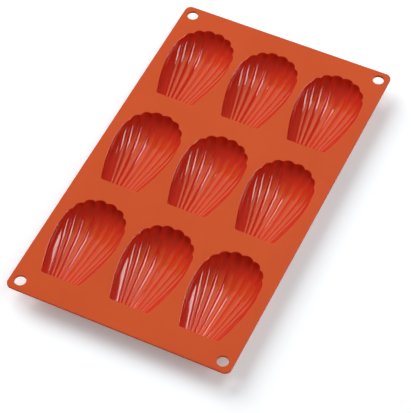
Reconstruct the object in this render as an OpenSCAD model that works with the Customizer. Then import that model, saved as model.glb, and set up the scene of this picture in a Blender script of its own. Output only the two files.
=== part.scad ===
// Shell-cake mould: a flat silicone sheet with nine fluted, shell-shaped cups under it.
// Frame: +Z up, +Y toward the scalloped ends of the cups, +X to the right.
// The origin lies on the resting plane, under the middle of the sheet.

/* [Sheet] */
// Width of the sheet, left to right
sheet_width = 175; // [174:1:220]
// Length of the sheet, front to back
sheet_length = 300; // [298:1:360]
// Thickness of the sheet
sheet_thickness = 2; // [1.5:0.1:3]
// Radius of the sheet's corners
corner_radius = 5; // [2:0.5:10]
// Diameter of the four corner holes
hole_diameter = 8.6; // [6:0.1:9]
// Distance from the sheet's edges to the middle of a corner hole
hole_inset = 8.3; // [7.5:0.1:9]

/* [Grid of cups] */
// Distance from the sheet's side edges to the nearest cavities
side_margin = 8.95; // [8:0.05:9]
// Distance from the sheet's front and back edges to the nearest cavities, with the grid in the middle
end_margin = 20.35; // [18:0.05:22]
// How far the grid sits toward the back of the sheet
grid_shift = 1.15; // [-3:0.05:3]
// Smallest gap between the walls of two cups
cup_gap = 0.5; // [0.5:0.1:1]

/* [Cavity] */
// Width of a cavity at its widest place
cavity_width = 48.1; // [44:0.1:48.5]
// Length of a cavity, from its straight heel to its scalloped end
cavity_length = 73.5; // [70:0.5:78]
// Width of the straight heel
heel_width = 30; // [26:0.5:34]
// Radius of the two corners of the heel
heel_corner_radius = 1.8; // [1:0.1:3]
// Distance from the heel to the widest place
widest_at = 42; // [36:0.5:48]
// Depth of a cavity under the top of the sheet, on its middle ridge
cavity_depth = 15.8; // [12:0.1:22]
// Depth of a cavity at the foot of its heel wall
heel_depth = 10; // [7:0.1:11]
// Distance that the heel wall leans forward on its way down
heel_lean = 2.3; // [1:0.1:4]
// Thickness of a cup's wall
wall = 2; // [1.5:0.1:2.2]
// Height trimmed off under each cup, for a flat foot
foot_trim = 0.5; // [0.2:0.1:1]

/* [Flutes] */
// Number of flutes across a cavity
flute_count = 8; // [5:1:10]
// How far a flute bows out beyond its ridges, at the scalloped end
flute_depth = 1.7; // [1:0.1:2]
// Angle from the middle ridge to the outermost one
fan_angle = 15.6; // [14:0.1:18]
// Distance from the heel back to the point where the ridges would meet
fan_back = 36; // [32:0.5:42]

/* [Hidden] */
COLUMN_NAMES = ["left", "middle", "right"];
ROW_NAMES = ["front", "centre", "back"];
CUPS = [for (row = [0:2], column = [0:2]) [row, column]];
function cup_name(cup) = str("cup_", ROW_NAMES[cup[0]], "_", COLUMN_NAMES[cup[1]]);

// Colour of the silicone
silicone = [0.80, 0.33, 0.20];

// Rounding of the wide end, as the power of its superellipse
end_power = 2.3;
// Bend of each side between the heel and the widest place
side_power = 1.65;
// Crossways arch of the cavity at the heel and at its deepest place
heel_arch = 1.8;
middle_arch = 1.3;
// Share of each ray at which the cavity is deepest
deepest_at = 0.64;
// Share of the rows that lie before that place
deepest_row = 0.5;
// How much wider the middle flutes are
flute_spread = 0.27;
// Power at which the flutes fade out toward the sides
flute_fade = 4;
// Columns across a flute and across a smooth side, and rows from the heel's foot to the rim
flute_steps = 4;
side_steps = 6;
row_steps = 7;
// Power that brings the side columns together at the heel's corners
side_crowding = 1.6;
// Step for measuring the slope of the surface
slope_step = 0.05;

column_pitch = max(cavity_width + 2 * wall + cup_gap, (sheet_width - cavity_width) / 2 - side_margin);
row_pitch = max(cavity_length + 2 * (wall + flute_depth), (sheet_length - cavity_length) / 2 - end_margin);
last_column = flute_count * flute_steps + 2 * side_steps;
last_row = row_steps + 1;
corner_angle = atan(heel_width / 2 / fan_back);
fan_radius = fan_back + cavity_length;

// Shares of a range, with wider steps near zero
function spread(s, more) = s * (1 + more * (1 - abs(s)));

// Half the width of the cavity's mouth at a distance from the heel
function half_width(y) =
    let (half = cavity_width / 2,
         end = (y - widest_at) / (cavity_length - widest_at),
         side = (widest_at - y) / widest_at)
    y > widest_at
        ? half * pow(max(0, 1 - pow(end, end_power)), 1 / end_power)
        : half - (half - heel_width / 2) * pow(side, side_power);

// A point in the plan, on the ray at an angle, at a radius from the fan's middle
function ray(angle, radius) = [radius * sin(angle), radius * cos(angle) - fan_back];

function in_mouth(p) = p.y < cavity_length && abs(p.x) < half_width(p.y);

// Radius at which a ray leaves the cavity's mouth, found by halving
function mouth_radius(angle, near = 0, far = 2 * fan_radius, halvings = 40) =
    let (middle = (near + far) / 2)
    halvings == 0 ? middle
    : in_mouth(ray(angle, max(middle, fan_back))) || middle < fan_back
        ? mouth_radius(angle, middle, far, halvings - 1)
        : mouth_radius(angle, near, middle, halvings - 1);

// Height of an arch with a given power, from 1 in the middle to 0 at either side
function arch(across, power) = pow(max(0, 1 - pow(abs(across), power)), 1 / power);

// Distance from the heel at which the outermost ridge meets the rim
ridge_end = ray(fan_angle, mouth_radius(fan_angle)).y;

// Angle of a column's ray, from the left corner of the heel to the right one
function column_angle(column) =
    let (middle = last_column / 2,
         flute = (column - middle) / (middle - side_steps),
         y = ridge_end * pow((middle - abs(column - middle)) / side_steps, side_crowding))
    abs(flute) > 1
        ? sign(flute) * atan2(half_width(y), y + fan_back)
        : fan_angle * spread(flute, flute_spread);

// How far the flutes bow out at a column, as a share from 0 on a ridge to 1
function flute_share(column) =
    let (middle = last_column / 2,
         fan = abs(column - middle) / (middle - side_steps),
         part = (column - side_steps) / flute_steps,
         place = part - floor(part))
    fan >= 1 ? 0 : 4 * place * (1 - place) * (1 - pow(fan, flute_fade));

// A point of the cavity's plain bowl, on the ray at an angle: along is 0 at the heel's foot and 1 at the rim
function bowl(angle, along) =
    let (across = tan(angle) / tan(corner_angle),
         foot = (fan_back + heel_lean * arch(across, heel_arch)) / cos(angle),
         reach = mouth_radius(angle) - foot,
         deep = (cavity_depth - sheet_thickness) * arch(across, middle_arch),
         deep_heel = (heel_depth - sheet_thickness) * arch(across, heel_arch),
         before = 90 * along / deepest_row,
         after = 90 * (along - deepest_row) / (1 - deepest_row),
         early = along < deepest_row,
         share = early ? deepest_at * along / deepest_row : deepest_at + (1 - deepest_at) * sin(after),
         depth = early ? deep_heel + (deep - deep_heel) * sin(before) : deep * cos(after),
         plan = ray(angle, foot + reach * share))
    [plan.x, plan.y, -sheet_thickness - depth];

function unit(v) = v / norm(v);

// Direction out of the cavity, square to the plain bowl
function bowl_outward(angle, along) =
    let (right = bowl(angle + slope_step, along) - bowl(angle - slope_step, along),
         forward = bowl(angle, along + slope_step / 10) - bowl(angle, along - slope_step / 10))
    unit(cross(forward, right));

// Sum of two unit directions, long enough to offset both of their faces by 1
function mitre(a, b) = (a + b) / (1 + a * b);

heel_outward = unit([0, sheet_thickness - heel_depth, -heel_lean]);

// Angle by which the sides lean outward at the heel's corners
side_lean = atan((cavity_width - heel_width) / 2 * side_power / widest_at);
// Distance of the middle of a corner's round from the mould's middle line
round_x = heel_width / 2 - heel_corner_radius / tan(45 + side_lean / 2);

// A point of a corner of the heel, on the inside or the outside of the cup's wall
function corner_point(side, offset) =
    [side * (heel_width / 2 + offset), -offset, -sheet_thickness];

// Draws a point that lies in a corner of the heel in to the corner's round
function rounded(p, offset) =
    let (from = [abs(p.x) - round_x, p.y - heel_corner_radius],
         reach = heel_corner_radius + offset,
         past_side = from.x * cos(side_lean) - from.y * sin(side_lean),
         before_side = from.x * sin(side_lean) + from.y * cos(side_lean),
         in_corner = from.x > 0 && past_side > 0 && before_side < 0 && norm(from) > reach,
         to = reach * unit(from))
    in_corner ? [sign(p.x) * (round_x + to.x), heel_corner_radius + to.y, p.z] : p;

// A point of the cup's wall: offset is 0 on the inside and the wall's thickness on the outside
function wall_point(column, row, offset) = rounded(sharp_point(column, row, offset), offset);

// The same point with sharp corners at the heel
function sharp_point(column, row, offset) =
    let (angle = column_angle(column),
         along = (row - 1) / row_steps,
         heel = ray(angle, fan_back / cos(angle)),
         point = bowl(angle, max(0, along)),
         out = bowl_outward(angle, max(0, along)),
         bow = flute_share(column) * flute_depth * norm([point.x, point.y + fan_back]) / fan_radius)
    column == 0 ? corner_point(-1, offset)
    : column == last_column ? corner_point(1, offset)
    : row == 0 ? [heel.x, heel.y - offset, -sheet_thickness]
    : row == 1 ? point + bow * out + offset * mitre(out, heel_outward)
    : point + (bow + offset) * out;

// Points of one face of the wall, column by column
function wall_points(offset) =
    [for (column = [0:last_column], row = [0:last_row]) wall_point(column, row, offset)];

function is_corner(column) = column == 0 || column == last_column;
function wall_index(column, row) = column * (last_row + 1) + (is_corner(column) ? 0 : row);
function has_area(t) = t[0] != t[1] && t[1] != t[2] && t[2] != t[0];
function halves(a, b, c, d) = [for (t = [[a, b, c], [a, c, d]]) if (has_area(t)) t];
function turned(faces) = [for (t = faces) [t[2], t[1], t[0]]];
function shifted(faces, by) = [for (t = faces) [for (i = t) i + by]];

wall_faces = [for (column = [0:last_column - 1], row = [0:last_row - 1])
    each halves(wall_index(column, row), wall_index(column, row + 1),
                wall_index(column + 1, row + 1), wall_index(column + 1, row))];

// Indices round the rim, from the left corner of the heel over the scalloped end and back
rim_loop = concat(
    [for (column = [0:last_column]) wall_index(column, last_row)],
    [for (column = [last_column - 1:-1:1]) wall_index(column, 0)]);

inside_points = wall_points(0);
round_points = wall_points(wall);
// Height of the sheet's top over the resting plane, where the feet are trimmed
height = -min([for (p = round_points) p.z]) - foot_trim;
outside_points = [for (p = round_points) [p.x, p.y, max(p.z, -height)]];
point_count = len(inside_points);

rim_faces = [for (i = [0:len(rim_loop) - 1])
    let (a = rim_loop[i], b = rim_loop[(i + 1) % len(rim_loop)])
    each halves(a + point_count, b + point_count, b, a)];

// Outline of the cavity's mouth in the plan
mouth_outline = [for (i = rim_loop) [inside_points[i].x, inside_points[i].y]];

// Puts a cup or a mouth at its place in the grid
module at_place(row, column) {
    translate([(column - 1) * column_pitch, (row - 1) * row_pitch + grid_shift - cavity_length / 2])
        children();
}

// One cup: a thin fluted shell that hangs under the sheet
module cup(row, column) {
    color(silicone)
        translate([0, 0, height])
            at_place(row, column)
                polyhedron(
                    points = concat(inside_points, outside_points),
                    faces = concat(wall_faces, shifted(turned(wall_faces), point_count), rim_faces));
}

// The sheet's outline, with round corners
module sheet_outline() {
    square([sheet_width - 2 * corner_radius, sheet_length], center = true);
    square([sheet_width, sheet_length - 2 * corner_radius], center = true);
    for (x = [-1, 1], y = [-1, 1])
        translate([x * (sheet_width / 2 - corner_radius), y * (sheet_length / 2 - corner_radius)])
            circle(r = corner_radius, $fn = 48);
}

// The flat sheet, with a mouth over each cup and a hole in each corner
module sheet() {
    color(silicone)
        translate([0, 0, height - sheet_thickness])
            difference() {
                linear_extrude(sheet_thickness)
                    difference() {
                        sheet_outline();
                        for (cup = CUPS)
                            at_place(cup[0], cup[1])
                                polygon(mouth_outline);
                    }
                for (x = [-1, 1], y = [-1, 1])
                    translate([x * (sheet_width / 2 - hole_inset), y * (sheet_length / 2 - hole_inset), -1])
                        cylinder(d = hole_diameter, h = sheet_thickness + 2, $fn = 36);
            }
}

sheet();
for (cup = CUPS)
    cup(cup[0], cup[1]);
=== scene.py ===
import math

import bpy
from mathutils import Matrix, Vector


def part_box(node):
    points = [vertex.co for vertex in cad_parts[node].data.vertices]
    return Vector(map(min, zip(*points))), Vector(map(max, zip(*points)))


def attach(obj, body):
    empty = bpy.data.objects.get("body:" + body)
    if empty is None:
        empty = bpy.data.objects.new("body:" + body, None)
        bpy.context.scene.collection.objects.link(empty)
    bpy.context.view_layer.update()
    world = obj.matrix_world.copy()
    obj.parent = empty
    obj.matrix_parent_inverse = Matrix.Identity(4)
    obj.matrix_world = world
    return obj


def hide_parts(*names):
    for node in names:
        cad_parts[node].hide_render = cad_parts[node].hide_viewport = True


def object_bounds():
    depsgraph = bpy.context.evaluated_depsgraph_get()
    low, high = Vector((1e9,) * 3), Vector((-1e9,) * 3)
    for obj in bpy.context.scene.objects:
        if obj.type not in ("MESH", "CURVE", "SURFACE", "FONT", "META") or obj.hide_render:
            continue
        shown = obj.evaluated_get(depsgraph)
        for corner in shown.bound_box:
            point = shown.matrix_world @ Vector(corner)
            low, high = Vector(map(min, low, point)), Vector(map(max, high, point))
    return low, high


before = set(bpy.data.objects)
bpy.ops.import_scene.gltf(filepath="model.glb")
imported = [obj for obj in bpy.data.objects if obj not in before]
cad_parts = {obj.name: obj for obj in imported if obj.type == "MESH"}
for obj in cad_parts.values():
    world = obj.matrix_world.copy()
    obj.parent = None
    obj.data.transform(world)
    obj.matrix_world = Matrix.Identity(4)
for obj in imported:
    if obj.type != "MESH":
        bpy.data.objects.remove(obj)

cad_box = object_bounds()

# Sizes of the mould, in metres
SHEET_THICKNESS = 0.002
CORNER_RADIUS = 0.005
HOLE_DIAMETER = 0.0086
HOLE_INSET = 0.0083
EDGE_ROUNDING = 0.0003
LIP_ROUNDING = 0.0004
COLLAR_WIDTH = 0.0006

# Sizes of one cavity
CAVITY_WIDTH = 0.0481
CAVITY_LENGTH = 0.0735
HEEL_WIDTH = 0.030
WIDEST_AT = 0.042
CAVITY_DEPTH = 0.0158
HEEL_DEPTH = 0.010
HEEL_LEAN = 0.0023
HEEL_CORNER_RADIUS = 0.0018
WALL = 0.002
END_POWER = 2.3
SIDE_POWER = 1.65
HEEL_ARCH = 1.8
MIDDLE_ARCH = 1.3
DEEPEST_AT = 0.64
FILLET_ON_WALL = 0.78
FILLET_ON_FLOOR = 0.02

# Flutes, which fan out from a point behind the heel
FLUTE_COUNT = 8
FLUTE_DEPTH = 0.0017
FLUTE_SPREAD = 0.27
FLUTE_FADE = 4
FLUTE_START = 0.3
FAN_ANGLE = math.radians(15.6)
FAN_BACK = 0.036
RIDGE_SOFTNESS = 0.10
OUTER_RIDGE_SOFTNESS = 0.6

# Fineness of the modelled surface
STEPS_PER_FLUTE = 14
SIDE_STEPS = 16
SIDE_STEP_POWER = 1.6
HEEL_STEPS = 5
FILLET_STEPS = 5
FLOOR_STEPS = 16
RISE_STEPS = 22
CORNER_STEPS = 12
EDGE_STEPS = 3
LIP_STEPS = 4
HOLE_SIDES = 64
CUT_HEIGHT = 4 * SHEET_THICKNESS

# Angles and distances that tell faces, edges and points apart
SMOOTH_ANGLE = math.radians(22)
EDGE_ANGLE = math.radians(50)
SAME_HEIGHT = 2e-6
SAME_POINT = 1e-6
KEYS_PER_METRE = 1e6
BELOW_TOP = 1e-5
FACING_UP = 0.002
WIDEST_MITRE = 0.5

# Search for the mouth along a ray
HALVINGS = 44
SEARCH_LIMIT = 1.2

# Silicone
SILICONE_IOR = 1.42
CLOUD_SCALE = 22
CLOUD_DETAIL = 3
SMEAR_SCALE = 60
SMEAR_DETAIL = 4
PORE_DETAIL = 2
PORE_STRENGTH = 0.5
NOISE_LOW = 0.3
NOISE_HIGH = 0.7
# Painted shade: faces whose normal points up less than the first value get the full steep colour,
# which stands in for shade; faces above the second get none
PAINTED_SHADE_BELOW = 0.88
NO_PAINTED_SHADE_ABOVE = 0.985

# Studio
FLOOR_SIZE = 8
PAPER_COLOR = (0.91, 0.95, 0.97, 1)
PAPER_ROUGHNESS = 0.9
PAPER_GLOW = 0.26
WALL_HEIGHT = 0.06
WALL_COLOR = (0.25, 0.26, 0.27, 1)
CEILING_HEIGHT = 0.16
CEILING_COLOR = (0.07, 0.073, 0.078, 1)

# Camera, with its height counted from the top of the mould
CAMERA_AZIMUTH = math.radians(25.33)
CAMERA_ELEVATION = math.radians(52.63)
CAMERA_PLACE = (0.364098, -0.771347, 1.079496)
CAMERA_LENS = 162.2
CAMERA_SENSOR = 36

ROWS = ["front", "centre", "back"]
COLUMNS = ["left", "middle", "right"]

corner_angle = math.atan(HEEL_WIDTH / 2 / FAN_BACK)
fan_radius = FAN_BACK + CAVITY_LENGTH
mould_top = cad_box[1][2]


def deselect_everything():
    """Leaves object mode on and nothing selected."""
    if bpy.context.object and bpy.context.object.mode != "OBJECT":
        bpy.ops.object.mode_set(mode="OBJECT")
    bpy.ops.object.select_all(action="DESELECT")


def pick(piece):
    """Makes one piece active and the only one selected."""
    deselect_everything()
    piece.select_set(True)
    bpy.context.view_layer.objects.active = piece


def settle(piece):
    """Puts the piece's place and size into its mesh."""
    pick(piece)
    bpy.ops.object.transform_apply(location=True, rotation=True, scale=True)


def smooth(piece, *levels):
    """Smooths the curved faces and keeps the level ones at these heights flat."""
    pick(piece)
    bpy.ops.object.shade_smooth_by_angle(angle=SMOOTH_ANGLE)
    heights = [vertex.co.z for vertex in piece.data.vertices]
    for polygon in piece.data.polygons:
        for level in levels:
            if all(abs(heights[i] - level) < SAME_HEIGHT for i in polygon.vertices):
                polygon.use_smooth = False


# --- Shape of a cavity: x across, y from the heel, z down from the sheet's underside ---

def half_width(y):
    """Half the width of the mouth at a distance from the heel."""
    half = CAVITY_WIDTH / 2
    if y > WIDEST_AT:
        end = min(1, (y - WIDEST_AT) / (CAVITY_LENGTH - WIDEST_AT))
        return half * (1 - end ** END_POWER) ** (1 / END_POWER)
    return half - (half - HEEL_WIDTH / 2) * ((WIDEST_AT - y) / WIDEST_AT) ** SIDE_POWER


mouth_radii = {}


def mouth_radius(angle):
    """Radius at which a ray from the fan's middle leaves the mouth."""
    if angle not in mouth_radii:
        near, far = FAN_BACK / math.cos(angle), SEARCH_LIMIT * fan_radius
        for _ in range(HALVINGS):
            middle = (near + far) / 2
            x, y = middle * math.sin(angle), middle * math.cos(angle) - FAN_BACK
            if y < CAVITY_LENGTH and abs(x) < half_width(y):
                near = middle
            else:
                far = middle
        mouth_radii[angle] = near
    return mouth_radii[angle]


def arch(across, power):
    """Height of an arch, 1 over the middle and 0 at either side."""
    return max(0, 1 - abs(across) ** power) ** (1 / power)


def on_ray(angle, radius, depth):
    """The point at a radius along a ray and at a depth under the sheet."""
    x, y = radius * math.sin(angle), radius * math.cos(angle) - FAN_BACK
    return Vector((x, y, -SHEET_THICKNESS - depth))


def floor_point(angle, along):
    """The plain bowl from the heel's foot, 0, over its deepest place, 0.5, to the rim, 1."""
    across = math.tan(angle) / math.tan(corner_angle)
    foot = (FAN_BACK + HEEL_LEAN * arch(across, HEEL_ARCH)) / math.cos(angle)
    reach = mouth_radius(angle) - foot
    deep = (CAVITY_DEPTH - SHEET_THICKNESS) * arch(across, MIDDLE_ARCH)
    deep_heel = (HEEL_DEPTH - SHEET_THICKNESS) * arch(across, HEEL_ARCH)
    if along < 0.5:
        share = 2 * DEEPEST_AT * along
        depth = deep_heel + (deep - deep_heel) * math.sin(math.pi * along)
    else:
        turn = math.pi * (along - 0.5)
        share = DEEPEST_AT + (1 - DEEPEST_AT) * math.sin(turn)
        depth = deep * math.cos(turn)
    return on_ray(angle, foot + reach * share, depth)


def bowl_point(angle, row):
    """The plain bowl by rows: the heel's wall, its fillet, the floor and the rise to the rim."""
    top = on_ray(angle, FAN_BACK / math.cos(angle), 0)
    foot = floor_point(angle, 0)
    if row <= HEEL_STEPS:
        return top.lerp(foot, FILLET_ON_WALL * row / HEEL_STEPS)
    row -= HEEL_STEPS
    if row < FILLET_STEPS:
        t = row / FILLET_STEPS
        start, end = top.lerp(foot, FILLET_ON_WALL), floor_point(angle, FILLET_ON_FLOOR)
        return start * (1 - t) ** 2 + foot * 2 * t * (1 - t) + end * t ** 2
    row -= FILLET_STEPS
    if row < FLOOR_STEPS:
        return floor_point(angle, FILLET_ON_FLOOR + (0.5 - FILLET_ON_FLOOR) * row / FLOOR_STEPS)
    row -= FLOOR_STEPS
    return floor_point(angle, 0.5 + 0.5 * row / RISE_STEPS)


last_row = HEEL_STEPS + FILLET_STEPS + FLOOR_STEPS + RISE_STEPS


def bowl_outward(angle, row):
    """Direction out of the cavity, square to the plain bowl."""
    turn, step = math.radians(0.05), 0.02
    right = bowl_point(angle + turn, row) - bowl_point(angle - turn, row)
    forward = bowl_point(angle, min(last_row, row + step)) - bowl_point(angle, max(0, row - step))
    return forward.cross(right).normalized()


def spread(share, more):
    """Widens the flutes near the middle line at the cost of those at the sides."""
    return share * (1 + more * (1 - abs(share)))


def scallop(place, softness):
    """Bow of a flute between two ridges, from 0 to 1, with a softened ridge."""
    bow = 4 * place * (1 - place)
    return (math.hypot(bow, softness) - softness) / (math.hypot(1, softness) - softness)


def fan_rays():
    """The rays that make up a cavity, from the left corner of the heel to the right one."""
    ridge_end = mouth_radius(FAN_ANGLE) * math.cos(FAN_ANGLE) - FAN_BACK
    side = []
    for k in range(1, SIDE_STEPS):
        y = ridge_end * (k / SIDE_STEPS) ** SIDE_STEP_POWER
        side.append((math.atan2(half_width(y), y + FAN_BACK), 0.0, 0.0))
    flutes = []
    for flute in range(FLUTE_COUNT):
        for k in range(STEPS_PER_FLUTE):
            place = (1 - math.cos(math.pi * k / STEPS_PER_FLUTE)) / 2
            fan = 2 * (flute + place) / FLUTE_COUNT - 1
            angle = FAN_ANGLE * spread(fan, FLUTE_SPREAD)
            flutes.append((angle, place, 1 - abs(fan) ** FLUTE_FADE))
    left = [(-angle, place, share) for angle, place, share in side]
    return left + flutes + [(FAN_ANGLE, 0.0, 0.0)] + side[::-1]


rays = fan_rays()
last_ray = len(rays) + 1


def round_heel_corner(point, offset):
    """Draws a point that lies in a corner of the heel in to the corner's round."""
    slope = (CAVITY_WIDTH - HEEL_WIDTH) / 2 * SIDE_POWER / WIDEST_AT
    opening = math.pi / 2 + math.atan(slope)
    back = HEEL_CORNER_RADIUS / math.tan(opening / 2)
    centre_x = HEEL_WIDTH / 2 - back
    x, y = abs(point.x) - centre_x, point.y - HEEL_CORNER_RADIUS
    along_side = x * math.cos(math.atan(slope)) - y * math.sin(math.atan(slope))
    up_side = x * math.sin(math.atan(slope)) + y * math.cos(math.atan(slope))
    far = math.hypot(x, y)
    reach = HEEL_CORNER_RADIUS + offset
    if x > 0 and up_side < 0 and along_side > 0 and far > reach:
        x, y = x * reach / far, y * reach / far
        return Vector((math.copysign(centre_x + x, point.x), y + HEEL_CORNER_RADIUS, point.z))
    return point


def wall_point(ray, row, offset, softness, depth=FLUTE_DEPTH):
    """A point of the fluted wall, on its inside at offset 0, or on its outside."""
    if ray == 0 or ray == last_ray:
        side = -1 if ray == 0 else 1
        far = side * (HEEL_WIDTH / 2 + offset)
        return round_heel_corner(Vector((far, -offset, -SHEET_THICKNESS)), offset)
    angle, place, share = rays[ray - 1]
    point = bowl_point(angle, row)
    if row == 0:
        return round_heel_corner(Vector((point.x, -offset, -SHEET_THICKNESS)), offset)
    fade = min(1, max(0, row / (HEEL_STEPS + FILLET_STEPS) - FLUTE_START) / (1 - FLUTE_START))
    size = math.hypot(point.x, point.y + FAN_BACK) / fan_radius
    bow = depth * scallop(place, softness) * share * fade * size
    moved = point + bowl_outward(angle, row) * (bow + offset)
    if row == last_row:
        moved.z = -SHEET_THICKNESS
    moved.z = min(moved.z, -SHEET_THICKNESS)
    return round_heel_corner(moved, offset)


# --- Modelling of a cup ---

def fluted_shell(name, offset, softness):
    """A grid bent to one face of the fluted wall."""
    deselect_everything()
    bpy.ops.mesh.primitive_grid_add(x_subdivisions=last_ray, y_subdivisions=last_row, size=1)
    shell = bpy.context.object
    shell.name = name
    for vertex in shell.data.vertices:
        ray = round((vertex.co.x + 0.5) * last_ray)
        row = round((vertex.co.y + 0.5) * last_row)
        vertex.co = wall_point(ray, row, offset, softness)
    bpy.ops.object.mode_set(mode="EDIT")
    bpy.ops.mesh.select_all(action="SELECT")
    bpy.ops.mesh.remove_doubles(threshold=SAME_POINT)
    if offset > 0:
        bpy.ops.mesh.flip_normals()
    bpy.ops.mesh.select_all(action="DESELECT")
    bpy.ops.object.mode_set(mode="OBJECT")
    return shell


def key_of(point):
    """A point's place in the plan, to the nearest micrometre."""
    return (round(point.x * KEYS_PER_METRE), round(point.y * KEYS_PER_METRE))


def around(depth):
    """Points round the mouth, from the left corner of the heel over the scalloped end and back."""
    over = [wall_point(ray, last_row, 0, RIDGE_SOFTNESS, depth) for ray in range(last_ray + 1)]
    heel = [wall_point(ray, 0, 0, RIDGE_SOFTNESS, depth) for ray in range(last_ray - 1, 0, -1)]
    return over + heel


def moved_out(loop, distance):
    """The same loop, drawn out from the cavity in the plan."""
    out = []
    for i, point in enumerate(loop):
        before, after = loop[i - 1], loop[(i + 1) % len(loop)]
        one = Vector((before.y - point.y, point.x - before.x, 0)).normalized()
        two = Vector((point.y - after.y, after.x - point.x, 0)).normalized()
        out.append(point + (one + two) / max(WIDEST_MITRE, 1 + one.dot(two)) * distance)
    return out


mouth = around(FLUTE_DEPTH)
collar = moved_out(around(0), FLUTE_DEPTH + COLLAR_WIDTH)


def select_boundary():
    """Selects the open edge of the mesh in edit mode."""
    bpy.ops.mesh.select_all(action="DESELECT")
    bpy.ops.mesh.select_non_manifold(
        extend=False, use_wire=False, use_boundary=True,
        use_multi_face=False, use_non_contiguous=False, use_verts=False)


def draw_out(shell, ring, next_ring, height):
    """Extrudes the shell's open edge, which lies on one ring, to another ring at a height."""
    bpy.ops.object.mode_set(mode="EDIT")
    bpy.ops.mesh.select_mode(type="VERT")
    select_boundary()
    bpy.ops.mesh.extrude_edges_move()
    bpy.ops.object.mode_set(mode="OBJECT")
    place_in_ring = {key_of(point): i for i, point in enumerate(ring)}
    for vertex in shell.data.vertices:
        if vertex.select:
            vertex.co = next_ring[place_in_ring[key_of(vertex.co)]]
            vertex.co.z = height


def select_edges(piece, wanted):
    """Selects the edges whose two ends are both wanted."""
    bpy.ops.object.mode_set(mode="OBJECT")
    mesh = piece.data
    for polygon in mesh.polygons:
        polygon.select = False
    chosen = [wanted(vertex.co) for vertex in mesh.vertices]
    for vertex in mesh.vertices:
        vertex.select = False
    for edge in mesh.edges:
        edge.select = chosen[edge.vertices[0]] and chosen[edge.vertices[1]]
    bpy.ops.object.mode_set(mode="EDIT")
    bpy.ops.mesh.select_mode(type="EDGE")


def model_cup():
    """One fluted cup in its own place: inside face, lip, collar and outside face."""
    outside = fluted_shell("cup_outside", WALL, OUTER_RIDGE_SOFTNESS)
    for vertex in outside.data.vertices:
        vertex.co.z = max(vertex.co.z, -mould_top)
    cup = fluted_shell("cup", 0, RIDGE_SOFTNESS)
    draw_out(cup, mouth, mouth, 0)
    draw_out(cup, mouth, collar, 0)
    draw_out(cup, collar, collar, -SHEET_THICKNESS)
    deselect_everything()
    outside.select_set(True)
    cup.select_set(True)
    bpy.context.view_layer.objects.active = cup
    bpy.ops.object.join()
    bpy.ops.object.mode_set(mode="EDIT")
    bpy.ops.mesh.select_mode(type="EDGE")
    select_boundary()
    bpy.ops.mesh.bridge_edge_loops()
    bpy.ops.mesh.select_all(action="SELECT")
    bpy.ops.mesh.normals_make_consistent(inside=False)
    rim = {key_of(point) for point in mouth}
    select_edges(cup, lambda co: co.z > -SAME_POINT and key_of(co) in rim)
    bpy.ops.mesh.bevel(
        offset=LIP_ROUNDING, offset_type="OFFSET", segments=LIP_STEPS, affect="EDGES")
    bpy.ops.object.mode_set(mode="OBJECT")
    smooth(cup, 0, -mould_top)
    return cup


# --- Modelling of the sheet ---

def mouth_cutter(place):
    """A prism that cuts a mouth, as wide as the outside of a cup's collar."""
    deselect_everything()
    bpy.ops.mesh.primitive_circle_add(vertices=len(collar), fill_type="NGON")
    cutter = bpy.context.object
    for vertex, point in zip(cutter.data.vertices, collar):
        vertex.co = point
        vertex.co.z = -CUT_HEIGHT / 2
    bpy.ops.object.mode_set(mode="EDIT")
    bpy.ops.mesh.select_all(action="SELECT")
    bpy.ops.mesh.extrude_region_move(TRANSFORM_OT_translate={"value": (0, 0, CUT_HEIGHT)})
    bpy.ops.mesh.select_all(action="SELECT")
    bpy.ops.mesh.normals_make_consistent(inside=False)
    bpy.ops.object.mode_set(mode="OBJECT")
    cutter.location = place
    settle(cutter)
    return cutter


def cut_away(piece, cutters):
    """Cuts the joined cutters out of a piece and removes them."""
    deselect_everything()
    for cutter in cutters:
        cutter.select_set(True)
    bpy.context.view_layer.objects.active = cutters[0]
    if len(cutters) > 1:
        bpy.ops.object.join()
    tool = bpy.context.object
    pick(piece)
    cut = piece.modifiers.new("cut", "BOOLEAN")
    cut.operation = "DIFFERENCE"
    cut.solver = "EXACT"
    cut.object = tool
    bpy.ops.object.modifier_apply(modifier="cut")
    bpy.data.objects.remove(tool, do_unlink=True)


def model_sheet(places):
    """The flat sheet with round corners, four holes and nine mouths."""
    low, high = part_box("sheet")
    size = [high[i] - low[i] for i in range(3)]
    middle = [(high[i] + low[i]) / 2 for i in range(3)]
    deselect_everything()
    bpy.ops.mesh.primitive_cube_add(size=1, location=middle)
    sheet = bpy.context.object
    sheet.name = "mould_sheet"
    sheet.scale = size
    settle(sheet)
    mesh = sheet.data
    bpy.ops.object.mode_set(mode="EDIT")
    bpy.ops.mesh.select_mode(type="EDGE")
    bpy.ops.mesh.select_all(action="DESELECT")
    bpy.ops.object.mode_set(mode="OBJECT")
    for edge in mesh.edges:
        a, b = (mesh.vertices[i].co for i in edge.vertices)
        edge.select = abs(a.z - b.z) > SHEET_THICKNESS / 2
    bpy.ops.object.mode_set(mode="EDIT")
    bpy.ops.mesh.bevel(offset=CORNER_RADIUS, segments=CORNER_STEPS, affect="EDGES")
    bpy.ops.object.mode_set(mode="OBJECT")
    drills = []
    for x in (low[0] + HOLE_INSET, high[0] - HOLE_INSET):
        for y in (low[1] + HOLE_INSET, high[1] - HOLE_INSET):
            deselect_everything()
            bpy.ops.mesh.primitive_cylinder_add(
                vertices=HOLE_SIDES, radius=HOLE_DIAMETER / 2, depth=CUT_HEIGHT,
                location=(x, y, middle[2]))
            drills.append(bpy.context.object)
    for drill in drills:
        settle(drill)
    cut_away(sheet, drills)
    pick(sheet)
    rounding = sheet.modifiers.new("rounding", "BEVEL")
    rounding.width = EDGE_ROUNDING
    rounding.segments = EDGE_STEPS
    rounding.limit_method = "ANGLE"
    rounding.angle_limit = EDGE_ANGLE
    bpy.ops.object.modifier_apply(modifier="rounding")
    cut_away(sheet, [mouth_cutter(place) for place in places])
    smooth(sheet, low[2], high[2])
    return sheet


# --- Silicone ---

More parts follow.
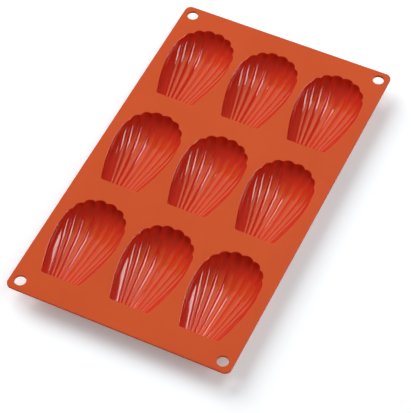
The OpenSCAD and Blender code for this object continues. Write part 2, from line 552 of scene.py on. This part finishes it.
def noise(nodes, links, place, scale, detail):
    """A noise in the piece's own space."""
    cloud = nodes.new("ShaderNodeTexNoise")
    cloud.inputs["Scale"].default_value = scale
    cloud.inputs["Detail"].default_value = detail
    links.new(place.outputs["Object"], cloud.inputs["Vector"])
    return cloud.outputs["Fac"]


def silicone(name, light, dark, steep_painted_shade, roughness, gloss, grain, grain_depth):
    """Moulded silicone: two close tones in soft clouds on level faces and painted shade on steep
    ones, a deeper tone that stands in for the shade on walls, with an uneven sheen and a fine
    grain."""
    material = bpy.data.materials.new(name)
    material.use_nodes = True
    nodes, links = material.node_tree.nodes, material.node_tree.links
    shader = nodes["Principled BSDF"]
    shader.inputs["IOR"].default_value = SILICONE_IOR
    shader.inputs["Specular IOR Level"].default_value = gloss
    place = nodes.new("ShaderNodeTexCoord")

    clouds = noise(nodes, links, place, CLOUD_SCALE, CLOUD_DETAIL)
    tones = nodes.new("ShaderNodeValToRGB")
    tones.color_ramp.elements[0].position = NOISE_LOW
    tones.color_ramp.elements[0].color = (*dark, 1)
    tones.color_ramp.elements[1].position = NOISE_HIGH
    tones.color_ramp.elements[1].color = (*light, 1)
    links.new(clouds, tones.inputs["Fac"])

    # Painted shade: the colour fades from the steep colour on steep faces to the clouded tones on
    # level ones, standing in for the shade on the walls
    slope = nodes.new("ShaderNodeSeparateXYZ")
    level = nodes.new("ShaderNodeMapRange")
    level.inputs["From Min"].default_value = PAINTED_SHADE_BELOW
    level.inputs["From Max"].default_value = NO_PAINTED_SHADE_ABOVE
    painted_shade_mix = nodes.new("ShaderNodeMix")
    painted_shade_mix.data_type = "RGBA"
    painted_shade_mix.inputs["A"].default_value = (*steep_painted_shade, 1)
    links.new(place.outputs["Normal"], slope.inputs[0])
    links.new(slope.outputs["Z"], level.inputs["Value"])
    links.new(level.outputs["Result"], painted_shade_mix.inputs["Factor"])
    links.new(tones.outputs["Color"], painted_shade_mix.inputs["B"])
    links.new(painted_shade_mix.outputs["Result"], shader.inputs["Base Color"])

    smears = noise(nodes, links, place, SMEAR_SCALE, SMEAR_DETAIL)
    sheen = nodes.new("ShaderNodeMapRange")
    sheen.inputs["From Min"].default_value = NOISE_LOW
    sheen.inputs["From Max"].default_value = NOISE_HIGH
    sheen.inputs["To Min"].default_value = roughness[0]
    sheen.inputs["To Max"].default_value = roughness[1]
    links.new(smears, sheen.inputs["Value"])
    links.new(sheen.outputs["Result"], shader.inputs["Roughness"])

    pores = noise(nodes, links, place, grain, PORE_DETAIL)
    relief = nodes.new("ShaderNodeBump")
    relief.inputs["Strength"].default_value = PORE_STRENGTH
    relief.inputs["Distance"].default_value = grain_depth
    links.new(pores, relief.inputs["Height"])
    links.new(relief.outputs["Normal"], shader.inputs["Normal"])
    return material


# Each silicone's steep colour is painted shade; on the glossy inside it is a deep crimson that
# stands in for the shade on the cavity walls
matte_silicone = silicone(
    "matte_silicone",
    light=(0.69, 0.095, 0.020), dark=(0.66, 0.088, 0.018), steep_painted_shade=(0.67, 0.086, 0.019),
    roughness=(0.50, 0.60), gloss=0.3, grain=1500, grain_depth=0.00006)
glossy_silicone = silicone(
    "glossy_silicone",
    light=(0.72, 0.090, 0.014), dark=(0.69, 0.082, 0.012), steep_painted_shade=(0.70, 0.036, 0.013),
    roughness=(0.07, 0.11), gloss=0.65, grain=260, grain_depth=0.00002)

# --- Assembly ---

cup = model_cup()
cup.data.materials.append(matte_silicone)
cup.data.materials.append(glossy_silicone)
for polygon in cup.data.polygons:
    height = polygon.center.z
    inside = polygon.normal.z > FACING_UP or height > -SHEET_THICKNESS - SAME_POINT
    polygon.material_index = 1 if inside and height < -BELOW_TOP else 0

places = []
for row in ROWS:
    for column in COLUMNS:
        node = f"cup_{row}_{column}"
        low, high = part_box(node)
        place = Vector(((low[0] + high[0]) / 2, low[1] + WALL, mould_top))
        places.append(place)
        copy = cup.copy()
        copy.data = cup.data.copy()
        copy.name = f"fluted_cup_{row}_{column}"
        bpy.context.collection.objects.link(copy)
        copy.location = place
        settle(copy)
        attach(copy, "root")
        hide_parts(node)
bpy.data.objects.remove(cup, do_unlink=True)

sheet = model_sheet(places)
sheet.data.materials.clear()
sheet.data.materials.append(matte_silicone)
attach(sheet, "root")
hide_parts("sheet")

# --- Studio ---

deselect_everything()
bpy.ops.mesh.primitive_plane_add(size=FLOOR_SIZE, location=(0, 0, 0))
floor = bpy.context.object
floor.name = "studio_floor"
paper = bpy.data.materials.new("white_paper")
paper.use_nodes = True
paper_nodes, paper_links = paper.node_tree.nodes, paper.node_tree.links
paper_shader = paper_nodes["Principled BSDF"]
paper_shader.inputs["Base Color"].default_value = PAPER_COLOR
paper_shader.inputs["Roughness"].default_value = PAPER_ROUGHNESS
paper_shader.inputs["Specular IOR Level"].default_value = 0
seen = paper_nodes.new("ShaderNodeLightPath")
glow = paper_nodes.new("ShaderNodeEmission")
glow.inputs["Color"].default_value = (1, 1, 1, 1)
nearest = paper_nodes.new("ShaderNodeMath")
nearest.operation = "MAXIMUM"
either = paper_nodes.new("ShaderNodeMath")
either.operation = "MAXIMUM"
strength = paper_nodes.new("ShaderNodeMath")
strength.operation = "MULTIPLY"
strength.inputs[1].default_value = PAPER_GLOW
both = paper_nodes.new("ShaderNodeAddShader")
paper_links.new(seen.outputs["Is Camera Ray"], nearest.inputs[0])
paper_links.new(seen.outputs["Is Glossy Ray"], nearest.inputs[1])
paper_links.new(nearest.outputs[0], either.inputs[0])
paper_links.new(seen.outputs["Is Transmission Ray"], either.inputs[1])
paper_links.new(either.outputs[0], strength.inputs[0])
paper_links.new(strength.outputs[0], glow.inputs["Strength"])
paper_links.new(paper_shader.outputs[0], both.inputs[0])
paper_links.new(glow.outputs[0], both.inputs[1])
paper_links.new(both.outputs[0], paper_nodes["Material Output"].inputs["Surface"])
floor.data.materials.append(paper)

world = bpy.data.worlds.new("studio_air")
world.use_nodes = True
air, air_links = world.node_tree.nodes, world.node_tree.links
direction = air.new("ShaderNodeTexCoord")
parts = air.new("ShaderNodeSeparateXYZ")
walls_to_ceiling = air.new("ShaderNodeValToRGB")
walls_to_ceiling.color_ramp.elements[0].position = WALL_HEIGHT
walls_to_ceiling.color_ramp.elements[0].color = WALL_COLOR
walls_to_ceiling.color_ramp.elements[1].position = CEILING_HEIGHT
walls_to_ceiling.color_ramp.elements[1].color = CEILING_COLOR
air_links.new(direction.outputs["Generated"], parts.inputs[0])
air_links.new(parts.outputs["Z"], walls_to_ceiling.inputs["Fac"])
air_links.new(walls_to_ceiling.outputs["Color"], air["Background"].inputs["Color"])
bpy.context.scene.world = world


def softbox(name, place, aim, width, height, brightness, roll=0, lights=True, mirrors=True):
    """A soft lamp that gives light, shows in reflections, or both."""
    light = bpy.data.lights.new(name, "AREA")
    light.shape = "RECTANGLE"
    light.size = width
    light.size_y = height
    light.energy = math.pi * brightness * width * height
    lamp = bpy.data.objects.new(name, light)
    lamp.location = place
    lamp.rotation_euler = (Vector(aim) - Vector(place)).to_track_quat("-Z", "Y").to_euler()
    lamp.rotation_euler.rotate_axis("Z", math.radians(roll))
    lamp.visible_diffuse = lights
    lamp.visible_glossy = mirrors
    bpy.context.collection.objects.link(lamp)


softbox(
    "key_softbox", place=(-1.60, 0.80, 2.04), aim=(0, 0, 0),
    width=2.20, height=2.20, brightness=4.25, mirrors=False)
softbox(
    "ceiling_softbox", place=(-0.68, 1.75, 1.5), aim=(-0.68, 1.75, 0),
    width=2.55, height=2.3, brightness=0.8, lights=False)
softbox(
    "fill_softbox", place=(1.07, -0.15, 1.55), aim=(0, 0, 0),
    width=1.40, height=1.40, brightness=1.9, mirrors=False)
softbox(
    "strip_softbox", place=(0.807, 0.429, 0.407), aim=(0, 0, 0),
    width=1.15, height=0.40, brightness=8.0, roll=42, lights=False)

eye = Vector((CAMERA_PLACE[0], CAMERA_PLACE[1], CAMERA_PLACE[2] + mould_top))
back = Vector((
    math.sin(CAMERA_AZIMUTH) * math.cos(CAMERA_ELEVATION),
    -math.cos(CAMERA_AZIMUTH) * math.cos(CAMERA_ELEVATION),
    math.sin(CAMERA_ELEVATION)))
camera = bpy.data.cameras.new("camera")
camera.lens = CAMERA_LENS
camera.sensor_width = CAMERA_SENSOR
camera.sensor_fit = "AUTO"
camera_stand = bpy.data.objects.new("camera", camera)
camera_stand.location = eye
camera_stand.rotation_euler = back.to_track_quat("Z", "Y").to_euler()
bpy.context.collection.objects.link(camera_stand)
bpy.context.scene.camera = camera_stand
bpy.context.scene.view_settings.view_transform = "Standard"
